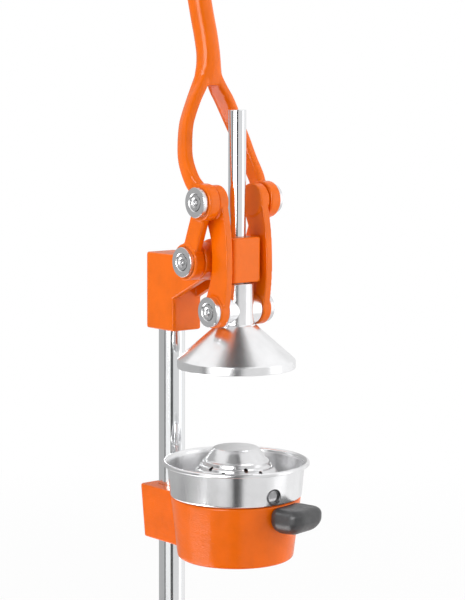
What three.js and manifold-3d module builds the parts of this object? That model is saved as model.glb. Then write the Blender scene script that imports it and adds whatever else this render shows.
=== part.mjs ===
// Lever citrus juice press, in millimetres, +Z up.
// The origin is on the floor under the middle of the base plate. The front of the press
// faces -Y, and left is -X. One column carries a cup with its juice bowl, and a head with a
// forked lever. Two links turn the swing of the lever into the stroke of the press cone.

import * as THREE from 'three';
import { mergeVertices } from 'three/addons/utils/BufferGeometryUtils.js';
import Module from 'manifold-3d';

const wasm = await Module();
wasm.setup();

// Clearances
const seatGap = 0.3;
const flareGap = 0.45;
const sideGap = 0.6;
const restGap = 1;
const overrun = 2;

// Base plate, column socket and feet
const baseWidth = 190;
const baseDepth = 280;
const baseHeight = 20;
const baseCorner = 26;
const baseEdge = 4;
const baseSkin = 9;
const baseWall = 8;
const baseRib = 6;
const baseRibShares = [-0.25, 0, 0.25];
const footBossRadius = 12;
const socketRadius = 27;
const socketHeight = 30;
const socketFillet = 7;
const socketFloor = 8;
const footHeight = 10;
const footTopRadius = 14;
const footFloorRadius = 11.5;
const footInset = 26;
const footScrewRadius = 2.5;
const footScrewHeadRadius = 5;
const footScrewHeadHeight = 3;
const footScrewGrip = 9;

// Column and the bolt that holds it in the base
const columnRadius = 14;
const columnReach = 107;
const columnChamfer = 1;
const rodAhead = 20;
const boltRadius = 5;
const boltGrip = 24;
const boltHeadRadius = 8.5;
const boltHeadHeight = 6;
const boltRecess = 5;
const washerRadius = 11;
const washerThickness = 1.8;

// Set screws that lock a clamp box on the column
const setScrewRadius = 4;
const setScrewSocket = 2;
const setScrewSocketDepth = 3;
const setScrewShares = [0.28, 0.72];

// Cup casting
const glassRoom = 152;
const cupHeight = 64;
const cupTopRadius = 67.2;
const cupBottomRadius = 59.8;
const cupWall = 7;
const cupFloor = 7;
const cupOutlet = 40;
const cupEdge = 3;
const cupBoxTopHalf = 29;
const cupBoxBottomHalf = 23.5;
const cupBoxBack = 20;
const cupBoxDrop = 5.5;
const cupBoxCorner = 5;

// Juice bowl
const bowlSheet = 1.4;
const bowlOverhang = 0.6;
const bowlTaper = 2.8;
const bowlRimWidth = 5.3;
const bowlHeight = 36.3;
const bowlBead = 2.2;
const beadAngles = [-90, -30, 30, 90];
const bowlFlare = 6;
const bowlCorner = 2;
const bowlSeatWidth = 17;
const bowlFall = 5;
const spoutRadius = 20;
const spoutLength = 26;
const overflowRadius = 8;
const overflowRise = 10;
const overflowTurn = -6;
const overflowLip = 1.6;

// Strainer dome
const domeSheet = 1.4;
const domeHeight = 48.2;
const domeFootWidth = 7.2;
const domeRadiusShares = [0.9, 0.77, 0.71, 0.645, 0.63, 0.59, 0.575, 0.525, 0.44, 0.385];
const domeHeightShares = [0.05, 0.42, 0.53, 0.58, 0.64, 0.66, 0.75, 0.8, 0.95, 1];
const domeInsideRadiusShares = [0.9, 0.77, 0.59, 0.44, 0.375];
const domeInsideHeightShares = [0.05, 0.42, 0.66, 0.94, 1];
const strainHoleRadius = 2.2;
const strainRows = [
  { heightShare: 0.627, holes: 6, turn: -23.4 },
  { heightShare: 0.55, holes: 6, turn: 1 },
];

// Grip on the front of the cup
const gripTurn = 11;
const gripWidth = 48;
const gripReach = 99;
const gripHeight = 26;
const gripDrop = 1.5;
const gripCorner = 11;
const gripEdge = 8;
const gripRise = 6;
const gripLevelShare = 0.45;
const gripSteps = 2;
const gripCurve = 3;
const gripScrewRadius = 2.5;
const gripScrewHeadRadius = 4.8;
const gripScrewHeadHeight = 3;
const gripScrewGrip = 14;

// Head bracket: clamp box, arm with two cheeks, guide block and pivot bosses
const pressSpan = 162;
const headHeight = 81;
const headHalf = 19.5;
const headFront = 26.2;
const headBack = 20.8;
const headCorner = 4;
const headEdge = 1.5;
const headBoreDepth = 64;
const cheekThickness = 8;
const cheekRootRise = 33;
const cheekFrontRise = 59;
const cheekFrontReach = 33;
const armTopDrop = 3;
const blockHalf = 18.7;
const blockFront = 16.8;
const blockBack = 19;
const blockTopRise = 105.1;
const headBossRadius = 19;
const axleHousing = 12;

// Rod guide bushes
const guideWall = 2.4;
const guideLength = 12;

// Pivots: B carries the lever, A joins lever and links, C joins links and cone
const pivotBBack = 27.3;
const pivotBRise = 79.5;
const crank = 66;
const crankLean = 20.9;
const linkLength = 110.8;
const pinRadius = 7;
const bushWall = 1.8;
const pinSeat = 6;
const capRadius = 15.3;
const capThickness = 5.1;
const capChamfer = 0.6;
const capSink = 2;
const screwHeadRadius = 8.6;
const screwHeadDepth = 4.2;
const screwRadius = 3.7;
const screwLength = 15;
const screwSocket = 2.9;
const screwSocketDepth = 3;

// Links
const linkInner = 22.4;
const linkThickness = 7.8;
const linkBossOuter = 33;
const linkEndRadius = 17;
const linkBossInset = 0.8;
const linkStep = 1.2;
const linkFront = 22;
const linkBack = 0.9;
const linkEdge = 1.4;
const linkShoulderAngle = 20;

// Lever
const leverBossRadius = 18.8;
const leverBossOuter = 46.5;
const leverBossEdge = 1.2;
const tailWidth = 21;
const tailThickness = 9.5;
const armThickness = 12;
const armDepth = 19;
const armToe = 20;
const forkRise = 124;
const forkSetback = 43;
const forkHalf = 42.5;
const shaftRadius = 12.2;
const shaftRise = 300;
const shaftSetback = 84;
const forkRiseShares = [0, 0.09, 0.18, 0.33, 0.48, 0.61, 0.705, 0.815, 0.9, 1];
const forkBackShares = [0, 0.2, 0.39, 0.65, 0.8, 0.91, 0.95, 0.975, 0.995, 1];
const forkOutShares = [0.94, 0.94, 1, 0.97, 0.875, 0.75, 0.63, 0.47, 0.325, 0.18];
const forkDepthShares = [1, 0.95, 0.93, 0.95, 1, 1.05, 1.1, 1.13, 1.15, 1.1];
const forkToeShares = [0, 0, 0.2, 0.4, 0.6, 0.8, 1, 1, 0.7, 0.2];
const shaftRiseShares = [0.39, 0.413, 0.437, 0.46, 0.506, 0.56, 0.613, 0.675, 1];
const shaftBackShares = [0.511, 0.512, 0.51, 0.507, 0.523, 0.568, 0.624, 0.685, 1];
const shaftWidthShares = [1.36, 1.2, 1.08, 1.02, 1, 1, 1, 1, 1];
const shaftDepthShares = [0.85, 0.95, 1, 1.02, 1, 1, 1, 1, 1];
const leverGripLength = 95;
const leverGripWall = 3.2;
const leverGripEnd = 9;

// Press cone and rod
const rodRadius = 9;
const rodChamfer = 1;
const rodAbove = 128;
const rodSocketDepth = 26;
const neckRadius = 17.8;
const neckLength = 28.58;
const coneRingRadius = 60.7;
const coneRingHeight = 8.4;
const coneDrop = 59.6;
const coneShoulderRadius = 24;
const coneShoulderDrop = 18.4;
const coneShoulderRise = 2;
const coneWall = 3.2;
const lugRadius = 15.5;
const lugBoreDepth = 10;

// Numbers of sides
const fineSides = 24;
const roundSides = 16;
const smallSides = 12;
const screwSides = 8;
const hexSides = 6;

// Places worked out from the sizes above
const degree = Math.PI / 180;
const rodY = -rodAhead;
const columnY = rodY + columnReach;
const baseTop = footHeight + baseHeight;
const socketTop = baseTop + socketHeight;
const columnBottom = footHeight + boltRecess + socketFloor;
const cupBottom = baseTop + glassRoom;
const cupTop = cupBottom + cupHeight;
const bowlBottom = cupTop + seatGap;
const bowlFootRadius = cupTopRadius + bowlOverhang;
const bowlTopRadius = bowlFootRadius + bowlTaper;
const bowlRimRadius = bowlTopRadius + bowlRimWidth;
const bowlSeatRadius = bowlFootRadius - bowlSeatWidth;
const domeFootRadius = bowlSeatRadius + domeFootWidth;
const headBottom = cupTop + pressSpan;
const headTop = headBottom + headHeight;
const columnTop = headBottom + headBoreDepth;
const pivotB = { y: rodY + pivotBBack, z: headBottom + pivotBRise };
const pivotA = {
  y: pivotB.y - crank * Math.sin(crankLean * degree),
  z: pivotB.z + crank * Math.cos(crankLean * degree),
};
const linkLean = Math.asin((pivotA.y - rodY) / linkLength);
const pivotC = { y: rodY, z: pivotA.z - linkLength * Math.cos(linkLean) };
const blockBottom = pivotC.z + neckLength;
const blockTop = headBottom + blockTopRise;
const blockHeight = blockTop - blockBottom;
const bushInner = pinRadius + seatGap;
const bushOuter = bushInner + bushWall;
const bushBore = bushOuter + seatGap;
const leverInner = linkBossOuter + sideGap;
const capFaceA = leverBossOuter + sideGap;
const capFaceB = leverBossOuter - capSink + sideGap;
const capFaceC = linkBossOuter + seatGap;
const guideInner = rodRadius + seatGap;
const guideOuter = guideInner + guideWall;

// Colours and finishes
const finishes = {
  orange: { color: 0xee6a16, roughness: 0.42, metalness: 0 },
  chrome: { color: 0xd4d6d8, roughness: 0.12, metalness: 1 },
  polished: { color: 0xc9cbcc, roughness: 0.2, metalness: 1 },
  steel: { color: 0xb9bbbc, roughness: 0.32, metalness: 1 },
  zinc: { color: 0x9ea3a6, roughness: 0.45, metalness: 1 },
  bronze: { color: 0xa98245, roughness: 0.4, metalness: 1 },
  black: { color: 0x2b2c2e, roughness: 0.5, metalness: 0 },
  rubber: { color: 0x1d1d1e, roughness: 0.85, metalness: 0 },
};

const press = new THREE.Group();
press.name = 'lever_citrus_press';

// Mesh helpers

// Close a geometry: weld its points, drop flat triangles and face it outwards.
function closed(geometry) {
  const bare = geometry.clone();
  bare.deleteAttribute('normal');
  bare.deleteAttribute('uv');
  const welded = mergeVertices(bare);
  const at = welded.getAttribute('position');
  const corners = welded.index.array;
  const kept = [];
  let volume = 0;
  const [a, b, c] = [new THREE.Vector3(), new THREE.Vector3(), new THREE.Vector3()];
  for (let i = 0; i < corners.length; i += 3) {
    const [p, q, r] = [corners[i], corners[i + 1], corners[i + 2]];
    if (p === q || q === r || r === p) continue;
    kept.push(p, q, r);
    a.fromBufferAttribute(at, p);
    b.fromBufferAttribute(at, q);
    c.fromBufferAttribute(at, r);
    volume += a.dot(b.cross(c));
  }
  if (volume < 0) kept.reverse();
  welded.setIndex(kept);
  return welded;
}

function solid(shape) {
  if (!shape.isBufferGeometry) return shape;
  return new wasm.Manifold(new wasm.Mesh({
    numProp: 3,
    vertProperties: Float32Array.from(shape.getAttribute('position').array),
    triVerts: Uint32Array.from(shape.index.array),
  }));
}

function join(first, ...others) {
  return others.reduce((whole, other) => whole.add(solid(other)), solid(first));
}

function cut(body, ...tools) {
  return tools.reduce((rest, tool) => rest.subtract(solid(tool)), solid(body));
}

function surface(shape) {
  if (shape.isBufferGeometry) return shape;
  const mesh = shape.getMesh();
  const geometry = new THREE.BufferGeometry();
  geometry.setAttribute('position', new THREE.BufferAttribute(mesh.vertProperties, 3));
  geometry.setIndex(new THREE.BufferAttribute(mesh.triVerts, 1));
  return geometry;
}

function place(name, shape, finish) {
  const geometry = surface(shape);
  geometry.computeVertexNormals();
  const mesh = new THREE.Mesh(geometry, new THREE.MeshStandardMaterial(finishes[finish]));
  mesh.name = name;
  press.add(mesh);
}

// Spin a profile of [radius, height] points about +Z.
function turned(profile, sides) {
  const points = [...profile, profile[0]].map(([r, h]) => new THREE.Vector2(r, h));
  return closed(new THREE.LatheGeometry(points, sides)).rotateX(Math.PI / 2);
}

function disc(radius, low, high, sides) {
  return turned([[0, low], [radius, low], [radius, high], [0, high]], sides);
}

function ring(inner, outer, low, high, sides) {
  return turned([[inner, low], [outer, low], [outer, high], [inner, high]], sides);
}

// Stand a shape that was spun about +Z on its side, its top facing outwards on that side.
function sideways(geometry, side, at) {
  return geometry.rotateY(side * Math.PI / 2).translate(0, at.y, at.z);
}

// A bar along X between two distances from the middle, on one side of the press.
function sideBar(radius, from, to, side, at, sides) {
  return sideways(disc(radius, from, to, sides), side, at);
}

// A box with rounded upright edges and, where edge is given, rounded top and bottom edges.
function block(width, depth, height, corner, edge = 0, steps = 1, curve = 3) {
  const [w, d] = [width / 2, depth / 2];
  const outline = new THREE.Shape();
  outline.absarc(w - corner, d - corner, corner, 0, Math.PI / 2);
  outline.absarc(corner - w, d - corner, corner, Math.PI / 2, Math.PI);
  outline.absarc(corner - w, corner - d, corner, Math.PI, 1.5 * Math.PI);
  outline.absarc(w - corner, corner - d, corner, 1.5 * Math.PI, 2 * Math.PI);
  return raised(outline, height, edge, steps, curve);
}

// Raise an outline in the XY plane from z = 0, its outer size unchanged by the rounded edge.
function raised(outline, height, edge, steps, curve) {
  return closed(new THREE.ExtrudeGeometry(outline, {
    depth: height - 2 * edge,
    bevelEnabled: edge > 0,
    bevelThickness: edge,
    bevelSize: edge,
    bevelOffset: -edge,
    bevelSegments: steps,
    curveSegments: curve,
  })).translate(0, 0, edge);
}

// Raise a side view drawn in Y and Z into a plate between two places along X.
const sideView = new THREE.Matrix4().makeBasis(
  new THREE.Vector3(0, 1, 0), new THREE.Vector3(0, 0, 1), new THREE.Vector3(1, 0, 0));
function plate(outline, from, to, edge = 0, steps = 1, curve = 6) {
  const geometry = raised(outline, to - from, edge, steps, curve).applyMatrix4(sideView);
  return geometry.translate(from, 0, 0);
}

// Skin a row of rings that all have the same number of points, and close both ends.
function loft(rings) {
  const around = rings[0].length;
  const points = rings.flat();
  const middle = (ringPoints) => ringPoints
    .reduce((sum, point) => sum.add(point), new THREE.Vector3()).divideScalar(around);
  points.push(middle(rings[0]), middle(rings[rings.length - 1]));
  const [first, last] = [points.length - 2, points.length - 1];
  const faces = [];
  for (let i = 0; i < around; i += 1) {
    const j = (i + 1) % around;
    faces.push(first, j, i);
    for (let k = 0; k + 1 < rings.length; k += 1) {
      const [low, high] = [k * around, (k + 1) * around];
      faces.push(low + i, low + j, high + j, low + i, high + j, high + i);
    }
    const end = (rings.length - 1) * around;
    faces.push(last, end + i, end + j);
  }
  const geometry = new THREE.BufferGeometry().setFromPoints(points);
  geometry.setIndex(faces);
  return closed(geometry);
}

// A ring of points round a middle, wide along X and deep along the given direction.
// The power sets the form: 1 is an ellipse, and smaller values are squarer. The toe turns it.
function section(middle, halfWidth, halfDepth, deep, power, sides, toe = 0) {
  const [across, along] = [Math.cos(toe * degree), Math.sin(toe * degree)];
  const points = [];
  for (let i = 0; i < sides; i += 1) {
    const angle = (2 * Math.PI * (i + 0.5)) / sides;
    const [c, s] = [Math.cos(angle), Math.sin(angle)];
    const wide = halfWidth * Math.sign(c) * Math.abs(c) ** power;
    const far = halfDepth * Math.sign(s) * Math.abs(s) ** power;
    const back = wide * along + far * across;
    points.push(new THREE.Vector3(middle.x + wide * across - far * along,
      middle.y + back * deep.y, middle.z + back * deep.z));
  }
  return points;
}

// Base plate: hollow underside with ribs, foot bosses and the column socket
const footPlaces = [];
for (const [sideName, side] of [['left', -1], ['right', 1]]) {
  for (const [endName, end] of [['front', -1], ['back', 1]]) {
    const x = side * (baseWidth / 2 - footInset);
    const y = end * (baseDepth / 2 - footInset);
    footPlaces.push({ name: `${endName}_${sideName}`, x, y });
  }
}

function basePlate() {
  const pocketHeight = baseHeight - baseSkin;
  const plateBody = block(baseWidth, baseDepth, baseHeight, baseCorner, baseEdge);
  const pocket = block(baseWidth - 2 * baseWall, baseDepth - 2 * baseWall,
    pocketHeight + overrun, baseCorner - baseWall).translate(0, 0, -overrun);
  const ribHeight = pocketHeight + baseSkin / 2;
  const ribs = baseRibShares.map((share) => new THREE.BoxGeometry(
    baseWidth - baseWall, baseRib, ribHeight).translate(0, share * baseDepth, ribHeight / 2));
  ribs.push(new THREE.BoxGeometry(baseRib, baseDepth - baseWall, ribHeight)
    .translate(0, 0, ribHeight / 2));
  const bosses = footPlaces.map(({ x, y }) => disc(
    footBossRadius, 0, ribHeight, smallSides).translate(x, y, 0));
  const plateAndRibs = join(cut(plateBody, pocket), ...ribs.map(closed), ...bosses);

  const fillet = [];
  for (let i = 0; i <= 3; i += 1) {
    const angle = (i / 3) * (Math.PI / 2);
    fillet.push([socketRadius + socketFillet * (1 - Math.sin(angle)),
      baseHeight + socketFillet * (1 - Math.cos(angle))]);
  }
  const height = baseHeight + socketHeight;
  const socket = turned([
    [0, 0], [socketRadius, 0], [socketRadius, pocketHeight],
    [socketRadius + socketFillet, pocketHeight], ...fillet,
    [socketRadius, height - baseEdge / 2], [socketRadius - baseEdge / 2, height], [0, height],
  ], roundSides).translate(0, columnY, 0);

  const bore = disc(columnRadius + seatGap, boltRecess + socketFloor - seatGap,
    height + overrun, fineSides);
  const boltHole = disc(boltRadius + seatGap, -overrun, height, smallSides);
  const recess = disc(washerRadius + sideGap, -overrun, boltRecess, smallSides);
  const holes = [bore, boltHole, recess].map((hole) => hole.translate(0, columnY, 0));
  for (const { x, y } of footPlaces) {
    holes.push(disc(footScrewRadius + seatGap, -overrun, footScrewGrip + seatGap, screwSides)
      .translate(x, y, 0));
  }
  return cut(join(plateAndRibs, socket), ...holes).translate(0, 0, footHeight);
}
place('base_plate', basePlate(), 'orange');

const footSeat = footHeight / 2;
function foot() {
  const top = footHeight - seatGap;
  return turned([
    [footScrewHeadRadius + sideGap, 0], [footFloorRadius, 0], [footTopRadius, top],
    [footScrewRadius + seatGap, top], [footScrewRadius + seatGap, footSeat],
    [footScrewHeadRadius + sideGap, footSeat],
  ], smallSides);
}
function footScrew() {
  const seat = footSeat - seatGap;
  return turned([
    [0, seat - footScrewHeadHeight], [footScrewHeadRadius, seat - footScrewHeadHeight],
    [footScrewHeadRadius, seat], [footScrewRadius, seat],
    [footScrewRadius, footHeight + footScrewGrip], [0, footHeight + footScrewGrip],
  ], screwSides);
}
for (const { name, x, y } of footPlaces) {
  place(`foot_${name}`, foot().translate(x, y, 0), 'rubber');
  place(`foot_screw_${name}`, footScrew().translate(x, y, 0), 'zinc');
}

// Column with its bolt and washer
function column() {
  const hole = boltRadius + seatGap;
  const deep = columnBottom + boltGrip;
  const top = columnTop - seatGap;
  return turned([
    [hole, columnBottom], [columnRadius, columnBottom], [columnRadius, top - columnChamfer],
    [columnRadius - columnChamfer, top], [0, top], [0, deep + seatGap], [hole, deep + seatGap],
  ], fineSides).translate(0, columnY, 0);
}
place('column', column(), 'chrome');

const washerTop = footHeight + boltRecess - seatGap;
const washerBottom = washerTop - washerThickness;
place('column_washer', ring(boltRadius + seatGap, washerRadius, washerBottom, washerTop,
  smallSides).translate(0, columnY, 0), 'zinc');

const boltHeadTop = washerBottom - seatGap;
function columnBolt() {
  const head = disc(boltHeadRadius, boltHeadTop - boltHeadHeight, boltHeadTop, hexSides);
  const shank = disc(boltRadius, boltHeadTop - boltHeadHeight / 2, columnBottom + boltGrip,
    screwSides);
  return join(head, shank).translate(0, columnY, 0);
}
place('column_bolt', columnBolt(), 'zinc');

// Set screws press on the back of the column. Both clamp boxes use them.
function setScrewLevels(bottom, height) {
  return setScrewShares.map((share) => bottom + share * height);
}
function setScrewHole(boxBack, level) {
  return disc(setScrewRadius + seatGap, 0, boxBack + overrun, screwSides)
    .rotateX(-Math.PI / 2).translate(0, columnY, level);
}
function setScrew(boxBack, level) {
  const tip = columnRadius + seatGap;
  const body = disc(setScrewRadius, tip, boxBack - seatGap, screwSides);
  const socketDepth = Math.min(setScrewSocketDepth, (boxBack - tip) / 2);
  const socket = disc(setScrewSocket, boxBack - socketDepth, boxBack + overrun, hexSides);
  return cut(body, socket).rotate([-90, 0, 0]).translate(0, columnY, level);
}
function placeSetScrews(owner, boxBack, bottom, height) {
  const [low, high] = setScrewLevels(bottom, height);
  place(`${owner}_set_screw_lower`, setScrew(boxBack, low), 'zinc');
  place(`${owner}_set_screw_upper`, setScrew(boxBack, high), 'zinc');
}

// Cup casting: tapered cup, tapered clamp box and a wide outlet over the glass
const cupBoxTop = cupTop - cupBoxDrop;
function cupBoxRing(half, level) {
  const front = Math.sqrt(cupBottomRadius ** 2 - cupBoxTopHalf ** 2);
  const back = columnReach + cupBoxBack;
  const deep = (back - front) / 2;
  const middle = rodY + front + deep;
  const points = [];
  for (const [sx, sy, start] of [[1, 1, 0], [-1, 1, 90], [-1, -1, 180], [1, -1, 270]]) {
    for (const turn of [0, 45, 90]) {
      const angle = (start + turn) * degree;
      points.push(new THREE.Vector3(
        sx * (half - cupBoxCorner) + cupBoxCorner * Math.cos(angle),
        middle + sy * (deep - cupBoxCorner) + cupBoxCorner * Math.sin(angle), level));
    }
  }
  return points;
}
function cupCasting() {
  const cup = turned([
    [0, cupBottom], [cupBottomRadius - cupEdge, cupBottom],
    [cupBottomRadius, cupBottom + cupEdge], [cupTopRadius, cupTop - cupEdge / 2],
    [cupTopRadius - cupEdge / 2, cupTop], [0, cupTop],
  ], fineSides);
  const hollow = turned([
    [0, cupBottom - overrun], [cupOutlet, cupBottom - overrun],
    [cupOutlet, cupBottom + cupFloor], [cupBottomRadius - cupWall, cupBottom + cupFloor],
    [cupTopRadius - cupWall, cupTop + overrun], [0, cupTop + overrun],
  ], fineSides);
  const box = loft([cupBoxRing(cupBoxBottomHalf, cupBottom), cupBoxRing(cupBoxTopHalf, cupBoxTop)]);
  const bore = disc(columnRadius + seatGap, cupBottom - overrun, cupTop + overrun, fineSides)
    .translate(0, columnY, 0);
  const screwHoles = setScrewLevels(cupBottom, cupBoxTop - cupBottom)
    .map((level) => setScrewHole(cupBoxBack, level));
  return cut(
    join(cup.translate(0, rodY, 0), box), hollow.translate(0, rodY, 0), bore, ...screwHoles,
    gripScrewPath(gripScrewRadius + seatGap, cupTopRadius + overrun),
    gripScrewSpotFace());
}

// The grip and its screw are built facing -Y on the cup's axis, then turned into place.
const gripTop = cupTop - gripDrop;
const gripBottom = gripTop - gripHeight;
const gripScrewLevel = (gripBottom + gripTop) / 2;
const gripScrewSeat = cupBottomRadius + (cupTopRadius - cupBottomRadius)
  * ((gripScrewLevel - cupBottom) / cupHeight) - cupWall / 2;
function turnedToGrip(shape) {
  return solid(shape).rotate([90, 0, 0]).translate(0, 0, gripScrewLevel)
    .rotate([0, 0, gripTurn]).translate(0, rodY, 0);
}
function gripScrewPath(radius, reach) {
  return turnedToGrip(disc(radius, cupOutlet, reach, screwSides));
}
function gripScrewSpotFace() {
  return turnedToGrip(disc(gripScrewHeadRadius + sideGap, cupOutlet, gripScrewSeat, smallSides));
}
const gripScrewEnd = cupTopRadius + gripScrewGrip;
function gripScrew() {
  const seat = gripScrewSeat - seatGap;
  const head = disc(gripScrewHeadRadius, seat - gripScrewHeadHeight, seat, screwSides);
  const shank = disc(gripScrewRadius, seat - gripScrewHeadHeight / 2, gripScrewEnd, screwSides);
  return turnedToGrip(join(head, shank));
}
function frontGrip() {
  const depth = gripReach - cupBottomRadius;
  const form = block(gripWidth, depth, gripHeight, gripCorner, gripEdge, gripSteps, gripCurve);
  // The underside rises towards the tip.
  const at = form.getAttribute('position');
  for (let i = 0; i < at.count; i += 1) {
    const share = (1 / 2 - at.getY(i) / depth - gripLevelShare) / (1 - gripLevelShare);
    const tip = Math.max(share, 0);
    at.setZ(i, at.getZ(i) + gripRise * tip * tip * (1 - at.getZ(i) / gripHeight));
  }
  const body = solid(form.translate(0, -(gripReach - depth / 2), gripBottom));
  const cupRoom = turned([
    [0, cupBottom], [cupBottomRadius + seatGap, cupBottom],
    [cupBottomRadius + seatGap, cupBottom + cupEdge],
    [cupTopRadius + seatGap, cupTop - cupEdge / 2], [cupTopRadius + seatGap, cupTop], [0, cupTop],
  ], fineSides);
  return cut(body.rotate([0, 0, gripTurn]).translate(0, rodY, 0),
    cupRoom.translate(0, rodY, 0), gripScrewPath(gripScrewRadius + seatGap, gripScrewEnd + seatGap));
}
place('cup_casting', cupCasting(), 'orange');
placeSetScrews('cup', cupBoxBack, cupBottom, cupBoxTop - cupBottom);
place('front_grip', frontGrip(), 'black');
place('front_grip_screw', gripScrew(), 'zinc');

// Juice bowl: rolled rim, tapered wall, flat seat for the strainer and a spout in the middle
function juiceBowl() {
  const top = bowlBottom + bowlHeight;
  const fallen = bowlBottom - bowlFall;
  const spoutEnd = fallen - spoutLength;
  const beadRadius = bowlRimRadius - bowlBead;
  const bead = beadAngles.map((angle) => [
    beadRadius + bowlBead * Math.cos(angle * degree),
    top - bowlBead + bowlBead * Math.sin(angle * degree)]);
  const outside = turned([
    [0, spoutEnd], [spoutRadius, spoutEnd], [spoutRadius, fallen], [bowlSeatRadius, bowlBottom],
    [bowlFootRadius - bowlCorner, bowlBottom], [bowlFootRadius, bowlBottom + bowlCorner],
    [bowlTopRadius, top - bowlFlare], ...bead, [0, top],
  ], fineSides);
  const inside = turned([
    [0, spoutEnd - overrun], [spoutRadius - bowlSheet, spoutEnd - overrun],
    [spoutRadius - bowlSheet, fallen + bowlSheet], [bowlSeatRadius, bowlBottom + bowlSheet],
    [bowlFootRadius - bowlCorner - bowlSheet / 2, bowlBottom + bowlSheet],
    [bowlFootRadius - bowlSheet, bowlBottom + bowlCorner + bowlSheet / 2],
    [bowlTopRadius - bowlSheet, top - bowlFlare], [beadRadius - bowlBead, top - bowlBead],
    [beadRadius - bowlBead / 2, top + overrun], [0, top + overrun],
  ], fineSides);
  const wallRadius = bowlFootRadius - bowlSheet;
  const level = bowlBottom + overflowRise;
  const facing = (shape) => shape.rotateX(Math.PI / 2).rotateZ(overflowTurn * degree)
    .translate(0, 0, level);
  const lip = facing(disc(overflowRadius + bowlSheet, wallRadius - overflowLip,
    bowlFootRadius, screwSides));
  const hole = facing(disc(overflowRadius, wallRadius / 2, bowlRimRadius + overrun, screwSides));
  return cut(join(cut(outside, inside), lip), hole).translate(0, rodY, 0);
}
place('juice_bowl', juiceBowl(), 'steel');

// Strainer dome: flat top, sloping side with two raised rings, drain holes and a foot flange
const domeBottom = bowlBottom + bowlSheet + seatGap;
function strainerDome() {
  const slope = (radiusShares, heightShares) => radiusShares.map((share, i) => [
    share * domeFootRadius, domeBottom + heightShares[i] * domeHeight]);
  const footRadius = domeFootRadius * domeRadiusShares[0];
  const outside = turned([
    [0, domeBottom], [domeFootRadius, domeBottom], [domeFootRadius, domeBottom + domeSheet],
    [footRadius + domeSheet, domeBottom + domeSheet],
    ...slope(domeRadiusShares, domeHeightShares),
    [0, domeBottom + domeHeight],
  ], fineSides);
  const inside = turned([
    [0, domeBottom - overrun], [footRadius, domeBottom - overrun],
    ...slope(domeInsideRadiusShares, domeInsideHeightShares).map(
      ([radius, height]) => [radius - domeSheet, height - domeSheet]),
    [0, domeBottom + domeHeight - domeSheet],
  ], fineSides);
  const holes = strainRows.flatMap(({ heightShare, holes: count, turn }) => Array.from(
    { length: count }, (_, i) => disc(strainHoleRadius, domeFootRadius / 4,
      domeFootRadius + overrun, hexSides)
      .rotateX(Math.PI / 2).rotateZ((turn + (360 * i) / count) * degree)
      .translate(0, 0, domeBottom + heightShare * domeHeight)));
  return cut(outside, inside, ...holes).translate(0, rodY, 0);
}
place('strainer_dome', strainerDome(), 'steel');

// Head bracket
function armOutline() {
  const root = columnY - headFront + headCorner;
  const front = rodY + blockBack - headCorner;
  const outline = new THREE.Shape();
  outline.moveTo(root, headBottom + cheekRootRise);
  outline.lineTo(root, headTop - headEdge);
  outline.lineTo(columnY - headFront, headTop - headEdge);
  outline.lineTo(pivotB.y + headBossRadius, headTop + armTopDrop);
  outline.lineTo(pivotB.y, blockTop - armTopDrop);
  outline.lineTo(front, blockTop - armTopDrop);
  outline.lineTo(front, blockBottom + headEdge);
  outline.lineTo(rodY + cheekFrontReach, headBottom + cheekFrontRise);
  return outline;
}
function headBracket() {
  const box = block(2 * headHalf, headFront + headBack, headHeight, headCorner, headEdge)
    .translate(0, columnY + (headBack - headFront) / 2, headBottom);
  const guide = block(2 * blockHalf, blockFront + blockBack, blockHeight, headCorner, headEdge)
    .translate(0, rodY + (blockBack - blockFront) / 2, blockBottom);
  const arm = plate(armOutline(), -headHalf, headHalf, headEdge / 2);
  const pocketFront = rodY + blockBack + cheekThickness / 2;
  const pocketBack = columnY - headFront;
  const pocketHeight = headHeight - cheekThickness;
  const pocket = block(2 * (headHalf - cheekThickness), pocketBack - pocketFront,
    pocketHeight, headEdge).translate(0, (pocketFront + pocketBack) / 2, headBottom);
  const housing = sideBar(axleHousing, cheekThickness - headHalf, headHalf - cheekThickness, 1,
    pivotB, roundSides);
  const bosses = sideBar(headBossRadius, -linkBossOuter, linkBossOuter, 1, pivotB, roundSides);
  const bossWaist = sideBar(headBossRadius + overrun, headEdge - headHalf, headHalf - headEdge, 1,
    pivotB, roundSides);
  const columnBore = disc(columnRadius + seatGap, headBottom - overrun, columnTop, fineSides)
    .translate(0, columnY, 0);
  const rodBore = disc(guideOuter + seatGap, blockBottom - overrun, blockTop + overrun, roundSides)
    .translate(0, rodY, 0);
  const reach = linkBossOuter + overrun;
  const axleBore = sideBar(pinRadius + seatGap, -reach, reach, 1, pivotB, smallSides);
  const screwHoles = setScrewLevels(headBottom, headBoreDepth)
    .map((level) => setScrewHole(headBack, level));
  const cheeks = cut(arm, pocket);
  return cut(join(cheeks, box, guide, cut(bosses, bossWaist), housing),
    columnBore, rodBore, axleBore, ...screwHoles);
}
place('head_bracket', headBracket(), 'orange');
placeSetScrews('head', headBack, headBottom, headBoreDepth);

for (const [level, bottom] of [
  ['lower', blockBottom + seatGap], ['upper', blockTop - guideLength - seatGap]]) {
  place(`rod_bush_${level}`, ring(guideInner, guideOuter, bottom, bottom + guideLength, roundSides)
    .translate(0, rodY, 0), 'bronze');
}

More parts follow.
